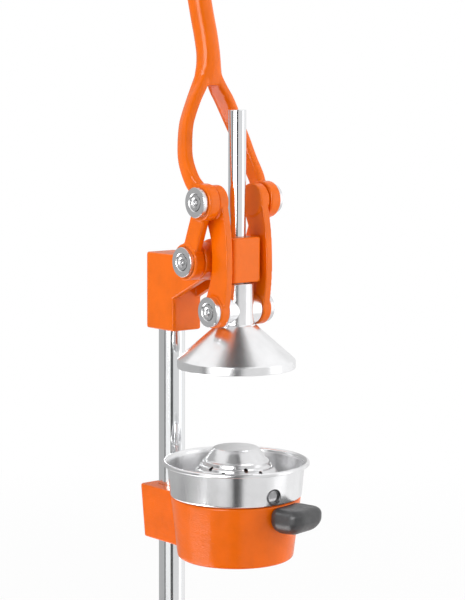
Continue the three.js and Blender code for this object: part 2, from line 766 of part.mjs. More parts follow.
// Pivot fittings: pins, bushes, caps and countersunk screws
const screwDepth = screwLength - capThickness;
function tapHole(face, side, at) {
  const depth = screwDepth + seatGap;
  return sideBar(screwRadius + seatGap, face - depth, face + overrun, side, at, roundSides);
}
function cap(face, side, at) {
  const outer = face + capThickness;
  return sideways(turned([
    [screwRadius + flareGap, face], [capRadius, face], [capRadius, outer - capChamfer],
    [capRadius - capChamfer, outer], [screwHeadRadius + flareGap, outer],
    [screwRadius + flareGap, outer - screwHeadDepth],
  ], roundSides), side, at);
}
function screw(face, side, at) {
  const top = face + capThickness;
  const body = sideways(turned([
    [0, face - screwDepth], [screwRadius, face - screwDepth],
    [screwRadius, top - screwHeadDepth], [screwHeadRadius, top], [0, top],
  ], roundSides), side, at);
  const socket = sideBar(screwSocket, top - screwSocketDepth, top + overrun, side, at, hexSides);
  return cut(body, socket);
}
function bush(from, to, side, at) {
  return sideways(ring(bushInner, bushOuter, from + seatGap, to - seatGap, smallSides), side, at);
}
function placeCapAndScrew(pivot, sideName, face, side, at) {
  place(`pivot_${pivot}_cap_${sideName}`, cap(face, side, at), 'chrome');
  place(`pivot_${pivot}_screw_${sideName}`, screw(face, side, at), 'steel');
}

const axleEnd = capFaceB - seatGap;
place('head_axle', cut(sideBar(pinRadius, -axleEnd, axleEnd, 1, pivotB, smallSides),
  tapHole(axleEnd, -1, pivotB), tapHole(axleEnd, 1, pivotB)), 'zinc');

for (const [sideName, side] of [['left', -1], ['right', 1]]) {
  placeCapAndScrew('b', sideName, capFaceB, side, pivotB);
  place(`lever_bush_b_${sideName}`,
    bush(leverInner, leverBossOuter - capSink, side, pivotB), 'bronze');
  place(`lever_bush_a_${sideName}`, bush(leverInner, leverBossOuter, side, pivotA), 'bronze');

  const pinEndA = capFaceA - seatGap;
  const pinA = sideBar(pinRadius, linkBossOuter - pinSeat + seatGap, pinEndA, side, pivotA,
    smallSides);
  place(`pivot_a_pin_${sideName}`, cut(pinA, tapHole(pinEndA, side, pivotA)), 'zinc');
  placeCapAndScrew('a', sideName, capFaceA, side, pivotA);

  const pinEndC = capFaceC - seatGap;
  const pinC = sideBar(pinRadius, linkInner, pinEndC, side, pivotC, smallSides);
  place(`pivot_c_pin_${sideName}`, cut(pinC, tapHole(pinEndC, side, pivotC)), 'zinc');
  placeCapAndScrew('c', sideName, capFaceC, side, pivotC);
  place(`link_bush_${sideName}`, bush(linkInner, linkBossOuter, side, pivotC), 'bronze');
}

// Links: a waisted plate bowed forwards, with a thicker boss at each end
function linkOutline() {
  const shoulder = linkShoulderAngle * degree;
  const [out, up] = [linkEndRadius * Math.cos(shoulder), linkEndRadius * Math.sin(shoulder)];
  const bow = (middle, end) => (4 * middle - end) / 3;
  const [back, front] = [bow(linkBack, out), bow(-linkFront, -out)];
  const [low, high] = [linkLength / 3, (2 * linkLength) / 3];
  const outline = new THREE.Shape();
  outline.absarc(0, 0, linkEndRadius, Math.PI - shoulder, 2 * Math.PI + shoulder);
  outline.bezierCurveTo(back, low, back, high, out, linkLength - up);
  outline.absarc(0, linkLength, linkEndRadius, -shoulder, Math.PI + shoulder);
  outline.bezierCurveTo(front, high, front, low, -out, up);
  return outline;
}
function link(side) {
  const outer = linkInner + linkThickness;
  const [from, to] = side > 0 ? [linkInner, outer] : [-outer, -linkInner];
  const web = plate(linkOutline(), from, to, linkEdge);
  const ends = [[0, linkInner + linkEdge], [linkLength, linkInner - linkStep]].map(
    ([rise, inner]) => sideBar(linkEndRadius - linkBossInset, inner, linkBossOuter, side,
      { y: 0, z: rise }, roundSides));
  const reach = linkBossOuter + overrun;
  const pinHole = sideBar(pinRadius + seatGap, linkBossOuter - pinSeat, reach, side,
    { y: 0, z: linkLength }, smallSides);
  const bushHole = sideBar(bushBore, linkInner - overrun, reach, side, { y: 0, z: 0 }, smallSides);
  return cut(join(web, ...ends), pinHole, bushHole)
    .rotate([-linkLean / degree, 0, 0]).translate(0, pivotC.y, pivotC.z);
}
place('link_left', link(-1), 'orange');
place('link_right', link(1), 'orange');

// Lever: two bowed arms that meet in a round shaft, with a boss at A and a tail arm to B
function shareAt(shares, t) {
  const spot = t * (shares.length - 1);
  const low = Math.min(Math.floor(spot), shares.length - 2);
  return shares[low] + (shares[low + 1] - shares[low]) * (spot - low);
}
const armSteps = 11;
const armSides = 8;
const armPower = 0.6;
function leverArm(side) {
  const curve = new THREE.CatmullRomCurve3(forkRiseShares.map((rise, i) => new THREE.Vector3(
    side * forkHalf * forkOutShares[i], pivotA.y + forkSetback * forkBackShares[i],
    pivotA.z + forkRise * rise)));
  const rings = [];
  for (let i = 0; i <= armSteps; i += 1) {
    const t = i / armSteps;
    const along = curve.getTangent(t);
    const upright = Math.hypot(along.y, along.z);
    rings.push(section(curve.getPoint(t), armThickness / (2 * upright),
      (armDepth / 2) * shareAt(forkDepthShares, t),
      { y: along.z / upright, z: -along.y / upright }, armPower, armSides,
      side * armToe * shareAt(forkToeShares, t)));
  }
  return loft(rings);
}
function shaftMiddle(i) {
  return new THREE.Vector3(0, pivotA.y + shaftSetback * shaftBackShares[i],
    pivotA.z + shaftRise * shaftRiseShares[i]);
}
const shaftTip = shaftMiddle(shaftRiseShares.length - 1);
const shaftRoot = shaftMiddle(shaftRiseShares.length - 2);
const shaftLean = Math.atan2(shaftTip.y - shaftRoot.y, shaftTip.z - shaftRoot.z);
function leverShaft() {
  const last = shaftRiseShares.length - 1;
  const rings = shaftRiseShares.map((_, i) => {
    const [low, high] = [shaftMiddle(Math.max(i - 1, 0)), shaftMiddle(Math.min(i + 1, last))];
    const lean = i >= last - 1 ? shaftLean : Math.atan2(high.y - low.y, high.z - low.z);
    return section(shaftMiddle(i), shaftRadius * shaftWidthShares[i],
      shaftRadius * shaftDepthShares[i], { y: Math.cos(lean), z: -Math.sin(lean) }, 1,
      smallSides);
  });
  return loft(rings);
}
function tailArm(side) {
  const middle = (leverInner + leverBossOuter) / 2;
  const bar = new THREE.BoxGeometry(tailThickness, tailWidth, crank)
    .translate(side * middle, 0, crank / 2);
  return closed(bar).rotateX(crankLean * degree).translate(0, pivotB.y, pivotB.z);
}
function leverBoss(side, at) {
  return sideways(turned([
    [0, leverInner], [leverBossRadius - leverBossEdge, leverInner],
    [leverBossRadius, leverInner + leverBossEdge],
    [leverBossRadius, leverBossOuter - leverBossEdge],
    [leverBossRadius - leverBossEdge, leverBossOuter], [0, leverBossOuter],
  ], roundSides), side, at);
}
function lever() {
  const pieces = [leverShaft()];
  const tools = [];
  const reach = leverBossOuter + overrun;
  for (const side of [-1, 1]) {
    pieces.push(leverArm(side), tailArm(side), leverBoss(side, pivotA), leverBoss(side, pivotB));
    tools.push(
      sideBar(bushBore, leverInner - overrun, reach, side, pivotA, smallSides),
      sideBar(bushBore, leverInner - overrun, reach, side, pivotB, smallSides),
      sideBar(capRadius + sideGap, leverBossOuter - capSink, reach, side, pivotB, roundSides),
      sideBar(capRadius + sideGap, leverBossOuter, forkHalf + armThickness, side, pivotA,
        roundSides));
  }
  return cut(join(...pieces), ...tools);
}
place('lever', lever(), 'orange');

function leverGrip() {
  const inner = shaftRadius + seatGap;
  const outer = inner + leverGripWall;
  const profile = [[0, seatGap], [inner, seatGap], [inner, -leverGripLength],
    [outer, -leverGripLength]];
  for (const angle of [0, 30, 60, 90]) {
    profile.push([outer * Math.cos(angle * degree),
      seatGap + leverGripEnd * Math.sin(angle * degree)]);
  }
  return turned(profile, smallSides).rotateZ(Math.PI / smallSides).rotateX(-shaftLean)
    .translate(0, shaftTip.y, shaftTip.z);
}
place('lever_grip', leverGrip(), 'black');

// Press cone: hollow cone with a ring, neck and cross lugs, carried by the press rod
const neckTop = blockBottom - restGap;
const rodBottom = neckTop - rodSocketDepth;
function pressCone() {
  const low = pivotC.z - coneDrop;
  const shoulder = pivotC.z - coneShoulderDrop;
  const outside = turned([
    [0, low], [coneRingRadius, low], [coneRingRadius, low + coneRingHeight],
    [coneShoulderRadius, shoulder], [neckRadius, shoulder + coneShoulderRise],
    [neckRadius, neckTop], [0, neckTop],
  ], fineSides);
  const inside = turned([
    [0, low - overrun], [coneRingRadius - coneWall, low - overrun],
    [coneRingRadius - coneWall, low + coneRingHeight - coneWall / 2],
    [coneShoulderRadius - coneWall, shoulder - coneWall], [0, shoulder - coneWall],
  ], fineSides);
  const lugEnd = linkInner - sideGap;
  const lugs = sideBar(lugRadius, -lugEnd, lugEnd, 1, { y: 0, z: pivotC.z }, roundSides);
  const rodSocket = disc(rodRadius + seatGap, rodBottom, neckTop + overrun, roundSides);
  const pinHoles = [-1, 1].map((side) => sideBar(pinRadius + seatGap, lugEnd - lugBoreDepth,
    lugEnd + overrun, side, { y: 0, z: pivotC.z }, smallSides));
  return cut(join(cut(outside, inside), lugs), rodSocket, ...pinHoles).translate(0, rodY, 0);
}
place('press_cone', pressCone(), 'polished');

const rodTop = blockTop + rodAbove;
place('press_rod', turned([
  [0, rodBottom + seatGap], [rodRadius, rodBottom + seatGap], [rodRadius, rodTop - rodChamfer],
  [rodRadius - rodChamfer, rodTop], [0, rodTop],
], roundSides).translate(0, rodY, 0), 'chrome');

export default press;
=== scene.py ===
# Lever citrus juice press: looks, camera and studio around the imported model.
import math

import bmesh
import bpy
from mathutils import Matrix, Vector


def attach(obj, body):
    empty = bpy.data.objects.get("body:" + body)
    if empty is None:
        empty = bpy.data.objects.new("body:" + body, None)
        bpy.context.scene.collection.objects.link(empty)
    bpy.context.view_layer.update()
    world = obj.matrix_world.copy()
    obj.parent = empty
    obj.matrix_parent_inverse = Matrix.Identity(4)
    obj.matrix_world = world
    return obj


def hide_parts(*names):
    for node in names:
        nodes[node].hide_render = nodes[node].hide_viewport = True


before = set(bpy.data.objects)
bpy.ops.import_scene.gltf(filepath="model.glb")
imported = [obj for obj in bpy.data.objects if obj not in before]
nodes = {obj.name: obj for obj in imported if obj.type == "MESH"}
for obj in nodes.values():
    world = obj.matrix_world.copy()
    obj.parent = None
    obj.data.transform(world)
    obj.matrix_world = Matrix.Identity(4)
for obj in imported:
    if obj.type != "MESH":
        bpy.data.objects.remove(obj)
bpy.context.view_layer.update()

# Shapes are drawn in millimetres and shrunk to metres at the end.
MM = 0.001
ROD_Y = -20
COLUMN_Y = 87
CUP_BOTTOM = 182
CUP_TOP = 246
BOWL_BOTTOM = 246.3
BOWL_TOP = 282.6
HEAD_BOTTOM = 408
HEAD_TOP = 489
BLOCK_BOTTOM = 467
BLOCK_TOP = 513.1
PIVOT_B = Vector((0, 7.3, 487.5))
PIVOT_A = Vector((0, -16.245, 549.157))
PIVOT_C = Vector((0, -20, 438.42))
PIVOTS = (("a", PIVOT_A), ("b", PIVOT_B), ("c", PIVOT_C))
LINK_LENGTH = 110.8
SHAFT_BACK = 84  # the lever's tip, back and up from pivot A
SHAFT_RISE = 300
FOOT_X = 69
FOOT_Y = 114
COLUMN_BORE = 14.3
CUP_INSIDE_LOW = 52.8  # radii of the cup's inner wall at its bottom and at its rim
CUP_INSIDE_TOP = 60.2
OVERFLOW_UP = 10  # centre of the overflow hole above the bowl's bottom
OVERFLOW_TURN = -6
CAMERA_AZIMUTH = 39.832
SIDES = (("left", -1), ("right", 1))


# Mesh helpers

def even_shading(made, smooth_angle):
    """Smooth shading that stays true beside small rounded edges."""
    made.data.shade_smooth()
    made.data.set_sharp_from_angle(angle=math.radians(smooth_angle))
    even = made.modifiers.new("even_shading", "WEIGHTED_NORMAL")
    even.keep_sharp = True
    return made


def keep(bm, name, smooth_angle=40):
    """Turn a drawn shape into an object that sits at the origin, in metres."""
    bmesh.ops.remove_doubles(bm, verts=bm.verts, dist=0.0005)
    bmesh.ops.recalc_face_normals(bm, faces=bm.faces)
    bmesh.ops.scale(bm, vec=(MM, MM, MM), verts=bm.verts)
    mesh = bpy.data.meshes.new(name)
    bm.to_mesh(mesh)
    bm.free()
    made = bpy.data.objects.new(name, mesh)
    bpy.context.scene.collection.objects.link(made)
    return even_shading(made, smooth_angle)


def move(bm, offset, verts=None):
    bmesh.ops.translate(bm, vec=Vector(offset), verts=verts or bm.verts)
    return bm


def turn(bm, degrees, axis, centre=(0, 0, 0), verts=None):
    matrix = Matrix.Rotation(math.radians(degrees), 3, axis)
    bmesh.ops.rotate(bm, cent=Vector(centre), matrix=matrix, verts=verts or bm.verts)
    return bm


def round_corners(bm, picked, radius, segments, affect="EDGES"):
    bmesh.ops.bevel(bm, geom=picked, offset=radius, offset_type="OFFSET", segments=segments,
                    profile=0.5, affect=affect, clamp_overlap=True, material=-1)


def rims(bm, axis):
    """The edges where the flat ends of a shape, across an axis, meet its sides."""
    ends = {f for f in bm.faces if abs(f.normal[axis]) > 0.9}
    return [e for e in bm.edges if len(e.link_faces) == 2
            and len(ends.intersection(e.link_faces)) == 1]


def spun(profile, steps=96, rounded=(), closed=False, segments=5):
    """Spin a profile of (radius, height) about the upright axis.

    rounded holds a pair for each rounded corner: the point's number and the rounding radius.
    """
    bm = bmesh.new()
    line = [bm.verts.new((r, 0, h)) for r, h in profile]
    for a, b in zip(line, line[1:] + (line[:1] if closed else [])):
        bm.edges.new((a, b))
    for corner, radius in rounded:
        round_corners(bm, [line[corner]], radius, segments, "VERTICES")
    bmesh.ops.spin(bm, geom=list(bm.verts) + list(bm.edges), cent=(0, 0, 0), axis=(0, 0, 1),
                   dvec=(0, 0, 0), angle=math.tau, steps=steps, use_merge=True,
                   use_duplicate=False)
    bmesh.ops.remove_doubles(bm, verts=bm.verts, dist=0.001)
    bmesh.ops.recalc_face_normals(bm, faces=bm.faces)
    return bm


def lay_along_x(bm, side, centre):
    """Lay a shape spun about the upright axis on its side, its top facing outwards."""
    turn(bm, 90 * side, "Y")
    return move(bm, centre)


def bar(radius, low, high, edge=0.0, steps=64):
    corners = ((1, edge), (2, edge)) if edge else ()
    return spun([(0, low), (radius, low), (radius, high), (0, high)], steps, corners,
                segments=3)


def side_bar(radius, low, high, side, centre, edge=0.0, steps=64):
    return lay_along_x(bar(radius, low, high, edge, steps), side, centre)


def block(width, depth, height, corner, edge, segments=6):
    """A box standing on z = 0, with rounded upright edges and softened rims."""
    bm = bmesh.new()
    bmesh.ops.create_cube(bm, size=1)
    bmesh.ops.scale(bm, vec=(width, depth, height), verts=bm.verts)
    move(bm, (0, 0, height / 2))
    upright = [e for e in bm.edges if abs(e.verts[0].co.z - e.verts[1].co.z) > height / 2]
    round_corners(bm, upright, corner, segments)
    if edge:
        round_corners(bm, rims(bm, 2), edge, 4)
    return bm


def slab(outline, from_x, to_x, edge, rounded):
    """A plate between two places along X from its side view of (y, z) points."""
    bm = bmesh.new()
    line = [bm.verts.new((from_x, y, z)) for y, z in outline]
    for a, b in zip(line, line[1:] + line[:1]):
        bm.edges.new((a, b))
    for corner, radius in rounded:
        round_corners(bm, [line[corner]], radius, 8, "VERTICES")
    face = bmesh.ops.contextual_create(bm, geom=list(bm.edges))["faces"]
    grown = bmesh.ops.extrude_face_region(bm, geom=face)["geom"]
    bmesh.ops.translate(bm, vec=(to_x - from_x, 0, 0),
                        verts=[g for g in grown if isinstance(g, bmesh.types.BMVert)])
    bmesh.ops.recalc_face_normals(bm, faces=bm.faces)
    round_corners(bm, rims(bm, 0), edge, 4)
    return bm


def swept(stations, squareness, steps):
    """Bridge rings set along a path.

    A station is (centre, half width, half depth, way of the depth in (y, z), toe in degrees).
    """
    bm = bmesh.new()
    rings = []
    for centre, half_width, half_depth, deep, toe in stations:
        ring = bmesh.ops.create_circle(bm, cap_ends=False, segments=steps, radius=1)["verts"]
        for v in ring:
            for i in (0, 1):
                v.co[i] = math.copysign(abs(v.co[i]) ** squareness, v.co[i])
        bmesh.ops.scale(bm, vec=(half_width, half_depth, 1), verts=ring)
        turn(bm, toe, "Z", verts=ring)
        lean = math.degrees(math.atan2(deep[1], deep[0]))
        turn(bm, lean, "X", verts=ring)
        move(bm, centre, ring)
        rings.append(list({e for v in ring for e in v.link_edges}))
    for low, high in zip(rings, rings[1:]):
        bmesh.ops.bridge_loops(bm, edges=low + high)
    bmesh.ops.contextual_create(bm, geom=rings[0])
    bmesh.ops.contextual_create(bm, geom=rings[-1])
    bmesh.ops.recalc_face_normals(bm, faces=bm.faces)
    return bm


def gather(*shapes):
    """Put several drawn shapes in one."""
    whole = bmesh.new()
    for shape in shapes:
        mesh = bpy.data.meshes.new("shape")
        shape.to_mesh(mesh)
        whole.from_mesh(mesh)
        bpy.data.meshes.remove(mesh)
        shape.free()
    return whole


def bake(made):
    """Apply the modifiers of a piece, so that its mesh is final."""
    graph = bpy.context.evaluated_depsgraph_get()
    mesh = bpy.data.meshes.new_from_object(made.evaluated_get(graph))
    made.modifiers.clear()
    made.data = mesh
    return made


def drill(made, *tools):
    """Cut drawn tools out of a piece."""
    for tool_shape in tools:
        tool = keep(tool_shape, "tool")
        made.modifiers.clear()
        hole = made.modifiers.new("hole", "BOOLEAN")
        hole.operation = "DIFFERENCE"
        hole.solver = "EXACT"
        hole.object = tool
        bake(made)
        bpy.data.objects.remove(tool)
    return even_shading(made, 35)


def drill_clamp(box, bore_low, bore_high, low, tall):
    """The column's bore and two set screw holes in the back of a clamp box."""
    drill(box, move(bar(COLUMN_BORE, bore_low, bore_high), (0, COLUMN_Y, 0)))
    for share in (0.28, 0.72):
        hole = turn(bar(4.4, 0, 30, steps=32), -90, "X")
        drill(box, move(hole, (0, COLUMN_Y, low + share * tall)))


def cast(name, parts, grain, passes):
    """Fuse overlapping objects into one casting with softly blended joins."""
    whole = parts[0]
    whole.name = name
    whole.data.name = name
    whole.modifiers.clear()
    bm = bmesh.new()
    for part in parts:
        bm.from_mesh(part.data)
    bm.to_mesh(whole.data)
    bm.free()
    for part in parts[1:]:
        bpy.data.objects.remove(part)
    fused = whole.modifiers.new("fused", "REMESH")
    fused.mode = "VOXEL"
    fused.voxel_size = grain * MM
    fused.use_smooth_shade = True
    soft = whole.modifiers.new("soft", "SMOOTH")
    soft.factor = 0.5
    soft.iterations = passes
    bake(whole)
    whole.data.shade_smooth()
    return whole


def dress(made, finish, body, stands_for=()):
    made.data.materials.clear()
    made.data.materials.append(finish)
    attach(made, body)
    if stands_for:
        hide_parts(*([stands_for] if isinstance(stands_for, str) else stands_for))
    return made


# Finishes

class Finish:
    """A node material read from the piece's own coordinates, in metres."""

    def __init__(self, name, color, roughness, metallic=0.0, **sockets):
        self.material = bpy.data.materials.new(name)
        self.material.use_nodes = True
        self.tree = self.material.node_tree
        self.shader = self.tree.nodes["Principled BSDF"]
        self.shader.inputs["Base Color"].default_value = (*color, 1)
        self.shader.inputs["Roughness"].default_value = roughness
        self.shader.inputs["Metallic"].default_value = metallic
        for socket, value in sockets.items():
            self.shader.inputs[socket.replace("_", " ")].default_value = value
        self.place = self.tree.nodes.new("ShaderNodeTexCoord").outputs["Object"]
        self.height = None

    def node(self, kind, inputs=None, **settings):
        made = self.tree.nodes.new("ShaderNode" + kind)
        for key, value in settings.items():
            setattr(made, key, value)
        for key, value in (inputs or {}).items():
            if isinstance(value, bpy.types.NodeSocket):
                self.tree.links.new(value, made.inputs[key])
            else:
                made.inputs[key].default_value = value
        return made

    def link(self, output, socket):
        self.tree.links.new(output, self.shader.inputs[socket])

    def placed(self, centre=(0, 0, 0), size=(1, 1, 1)):
        """The piece's coordinates, centred on a point and stretched."""
        shifted = self.node("Mapping", {"Vector": self.place,
                                        "Location": [-c for c in centre]})
        return self.node("Mapping", {"Vector": shifted.outputs[0], "Scale": size}).outputs[0]

    def noise(self, scale, detail, roughness=0.5, vector=None):
        return self.node("TexNoise", {
            "Vector": vector or self.place, "Scale": scale, "Detail": detail,
            "Roughness": roughness}).outputs["Fac"]

    def spread(self, value, low, high, to_low, to_high):
        return self.node("MapRange", {
            "Value": value, "From Min": low, "From Max": high,
            "To Min": to_low, "To Max": to_high}).outputs[0]

    def tints(self, value, stops):
        ramp = self.node("ValToRGB", {"Fac": value})
        band = ramp.color_ramp
        while len(band.elements) < len(stops):
            band.elements.new(0.5)
        for element, (at, color) in zip(band.elements, stops):
            element.position = at
            element.color = (*color, 1)
        self.link(ramp.outputs["Color"], "Base Color")

    def relief(self, value, depth, strength):
        """Raise the surface by a pattern, depth in metres."""
        bump = self.node("Bump", {"Height": value, "Distance": depth, "Strength": strength})
        if self.height is not None:
            self.tree.links.new(self.height, bump.inputs["Normal"])
        self.height = bump.outputs[0]
        self.link(self.height, "Normal")


def shade(color, factor):
    return tuple(min(1, c * factor) for c in color)


ORANGE = (0.86, 0.15, 0.0)


def powder_coat(name, color=ORANGE, skin=0.00015, flow=1.0):
    """Powder coat over a casting: a fine pebble, slow swells and a clear gloss."""
    coat = Finish(name, color, 0.36, Coat_Weight=0.5, Coat_Roughness=0.11,
                  Specular_IOR_Level=0.05)
    lie = coat.placed(size=(1, 1, flow))
    patches = coat.noise(38, 3, 0.55)
    coat.tints(patches, [(0.3, shade(color, 0.93)), (0.5, color), (0.72, shade(color, 1.06))])
    coat.link(coat.spread(coat.noise(420, 2, 0.6), 0.3, 0.75, 0.27, 0.43), "Roughness")
    coat.relief(coat.noise(95, 2, 0.5, lie), skin * 2.0, 0.5)
    coat.relief(coat.noise(420, 2, 0.6, lie), skin * 1.5, 0.75)
    coat.link(coat.height, "Coat Normal")
    return coat.material


def bright_chrome(name, smooth=0.03, worn=0.085):
    chrome = Finish(name, (0.86, 0.87, 0.88), smooth, 1.0)
    chrome.link(chrome.spread(chrome.noise(60, 4, 0.6), 0.3, 0.8, smooth, worn), "Roughness")
    marks = chrome.noise(900, 2, 0.6, chrome.placed(size=(1, 1, 0.02)))
    chrome.relief(marks, 0.000004, 0.25)
    return chrome.material


def turned_metal(name, color, centre, roughness, lines, depth, around_x=False, inside=None):
    """Metal with fine turning marks in rings round an axis, and maybe a duller inside darkened by
    painted shade.

    inside holds the wall's slope, its radius at the bottom, the added roughness and the strength of
    the painted shade inside.
    """
    metal = Finish(name, color, roughness, 1.0)
    spot = metal.placed(centre)
    parts = metal.node("SeparateXYZ", {"Vector": spot})
    first, second, along = ((1, 2, 0) if around_x else (0, 1, 2))
    square = [metal.node("Math", {0: parts.outputs[i], 1: 2.0}, operation="POWER").outputs[0]
              for i in (first, second)]
    total = metal.node("Math", {0: square[0], 1: square[1]}, operation="ADD").outputs[0]
    radius = metal.node("Math", {0: total, 1: 0.5}, operation="POWER").outputs[0]
    rings = metal.node("CombineXYZ", {0: radius, 1: parts.outputs[along]}).outputs[0]
    marks = metal.noise(lines, 3, 0.65, rings)
    worn = metal.spread(marks, 0.3, 0.7, roughness * 0.9, roughness * 1.1)
    metal.relief(marks, depth, 0.15)
    patches = metal.noise(45, 3, 0.5)
    if inside:
        lean, edge, duller, painted_shade = inside
        upright = metal.node("Math", {0: parts.outputs[along], 1: -lean, 2: radius},
                             operation="MULTIPLY_ADD").outputs[0]
        within = metal.spread(upright, edge - 0.0003, edge + 0.0003, 1, 0)
        worn = metal.node("Math", {0: within, 1: duller, 2: worn},
                          operation="MULTIPLY_ADD").outputs[0]
        # painted shade: the inside's tone is pulled down towards the darkest stop of the ramp
        patches = metal.node("Math", {0: within, 1: -painted_shade, 2: patches},
                             operation="MULTIPLY_ADD").outputs[0]
        metal.tints(patches, [(0.0, shade(color, 0.5)), (0.25, shade(color, 0.93)),
                              (0.75, shade(color, 1.05))])
    else:
        metal.tints(patches, [(0.25, shade(color, 0.93)), (0.75, shade(color, 1.05))])
    metal.link(worn, "Roughness")
    return metal.material


def plain_metal(name, color, roughness):
    metal = Finish(name, color, roughness, 1.0)
    patches = metal.noise(150, 3, 0.6)
    metal.tints(patches, [(0.25, shade(color, 0.82)), (0.75, shade(color, 1.12))])
    metal.link(metal.spread(metal.noise(500, 2), 0.3, 0.7, roughness * 0.8, roughness * 1.3),
               "Roughness")
    metal.relief(metal.noise(850, 2), 0.00002, 0.3)
    return metal.material


def moulded_black(name, roughness=0.36):
    grip = Finish(name, (0.05, 0.051, 0.053), roughness, Specular_IOR_Level=0.6)
    grip.tints(grip.noise(70, 3, 0.6), [(0.3, (0.04, 0.041, 0.043)), (0.75, (0.068, 0.068, 0.07))])
    grip.link(grip.spread(grip.noise(300, 3, 0.6), 0.3, 0.75, roughness * 0.8, roughness * 1.35),
              "Roughness")
    grip.relief(grip.noise(650, 2, 0.6), 0.00006, 0.35)
    return grip.material


def foot_rubber(name):
    rubber = Finish(name, (0.02, 0.02, 0.021), 0.8)
    rubber.tints(rubber.noise(120, 3), [(0.3, (0.014, 0.014, 0.015)), (0.8, (0.032, 0.032, 0.033))])
    rubber.link(rubber.spread(rubber.noise(350, 3), 0.3, 0.7, 0.68, 0.92), "Roughness")
    rubber.relief(rubber.noise(900, 2), 0.00008, 0.4)
    return rubber.material


orange_coat = powder_coat("orange_powder_coat")
# The cup's orange is a little redder than ORANGE: painted shade for the deeper look of its middle,
# which catches no sheen.
cup_coat = powder_coat("orange_coat_over_rough_casting", (0.86, 0.143, 0.0), 0.00021, 2.2)
chrome_plate = bright_chrome("bright_chrome_plate")
column_chrome = bright_chrome("chrome_plate_on_column", 0.1, 0.15)
cone_polish = turned_metal("polished_cone_metal", (0.93, 0.93, 0.94), (0, ROD_Y * MM, 0), 0.24,
                           4200, 0.000001)
dome_steel = turned_metal("pressed_dome_steel", (0.8, 0.8, 0.81), (0, ROD_Y * MM, 0), 0.23,
                          4200, 0.000004)
# The bowl's inside is rougher and darkened with painted shade.
bowl_steel = turned_metal("pressed_bowl_steel", (0.88, 0.88, 0.89),
                          (0, ROD_Y * MM, BOWL_BOTTOM * MM), 0.21, 4200, 0.000004,
                          inside=(2.8 / 30.3, 0.0671, 0.22, 0.35))
# The overflow hole's rolled lip gets a nearly black metal: painted shade round the hole.
lip_painted_shade = plain_metal("dark_rolled_edge", (0.13, 0.13, 0.135), 0.3)
cap_face = {p: turned_metal(f"turned_cap_{p}", (0.78, 0.78, 0.79),
                            (0, centre.y * MM, centre.z * MM), 0.24, 2600, 0.00002, True)
            for p, centre in PIVOTS}
screw_steel = plain_metal("screw_steel", (0.72, 0.72, 0.73), 0.26)
zinc_plate = plain_metal("zinc_plate", (0.6, 0.61, 0.62), 0.38)
bearing_bronze = plain_metal("bearing_bronze", (0.56, 0.38, 0.17), 0.36)
black_grip = moulded_black("moulded_black_grip")
black_rubber = foot_rubber("foot_rubber")


# Column and press rod
column = spun([(0, 23), (14, 23), (14, 471.7), (0, 471.7)], 96, [(1, 1), (2, 1)])
dress(keep(move(column, (0, COLUMN_Y, 0)), "column_bar"), column_chrome, "frame", "column")
rod = spun([(0, 441), (9, 441), (9, 641.1), (0, 641.1)], 96, [(2, 1.1)], segments=4)
dress(keep(move(rod, (0, ROD_Y, 0)), "press_rod_bar"), chrome_plate, "plunger", "press_rod")


# Press cone: hollow cone, ring, neck and cross lugs
def press_cone():
    low = PIVOT_C.z - 59.6
    shoulder = PIVOT_C.z - 18.4
    shell = spun([
        (0, shoulder - 3.2), (20.8, shoulder - 3.2), (57.5, low + 6.8), (57.5, low),
        (60.7, low), (60.7, low + 8.4), (19.8, shoulder + 3.2), (17.8, shoulder + 4),
        (17.8, BLOCK_BOTTOM - 1), (9.6, BLOCK_BOTTOM - 1), (9.6, 440.3), (0, 440.3)],
        144, [(3, 0.5), (4, 0.8), (5, 1.2), (6, 0.9), (7, 0.9), (8, 0.8)], segments=4)
    move(shell, (0, ROD_Y, 0))
    lugs = side_bar(15.5, -21.8, 21.8, 1, PIVOT_C, 1.0, 96)
    return keep(gather(shell, lugs), "press_cone_turned", 25)


dress(press_cone(), cone_polish, "plunger", "press_cone")


# Cup casting with its clamp box
def cup_casting():
    walls = spun([
        (40, CUP_BOTTOM), (59.8, CUP_BOTTOM), (67.2, CUP_TOP), (CUP_INSIDE_TOP, CUP_TOP),
        (CUP_INSIDE_LOW, CUP_BOTTOM + 7), (40, CUP_BOTTOM + 7)],
        144, [(1, 3), (2, 1.8), (3, 1.8), (4, 4)], closed=True)
    walls = keep(move(walls, (0, ROD_Y, 0)), "cup_walls")

    front, back = ROD_Y + 52.3, COLUMN_Y + 20
    tall = CUP_TOP - 5.5 - CUP_BOTTOM
    box = block(58, back - front, tall, 5, 1.5)
    for v in box.verts:
        share = 1 - v.co.z / tall
        v.co.x *= 1 - share * (1 - 23.5 / 29)  # half widths at the bottom and at the top
    move(box, (0, (front + back) / 2, CUP_BOTTOM))
    box = keep(box, "cup_box")
    hollow = move(bar(1, CUP_BOTTOM - 2, CUP_TOP + 2), (0, ROD_Y, 0))
    growth = CUP_INSIDE_TOP - CUP_INSIDE_LOW
    for v in hollow.verts:
        reach = CUP_INSIDE_LOW + (v.co.z - CUP_BOTTOM) * growth / (CUP_TOP - CUP_BOTTOM) + 2
        v.co.x *= reach
        v.co.y = ROD_Y + (v.co.y - ROD_Y) * reach
    drill(box, hollow)
    drill_clamp(box, CUP_BOTTOM - 2, CUP_TOP + 2, CUP_BOTTOM, tall)
    return cast("cup_body", [walls, box], 0.9, 6)


dress(cup_casting(), cup_coat, "frame", "cup_casting")


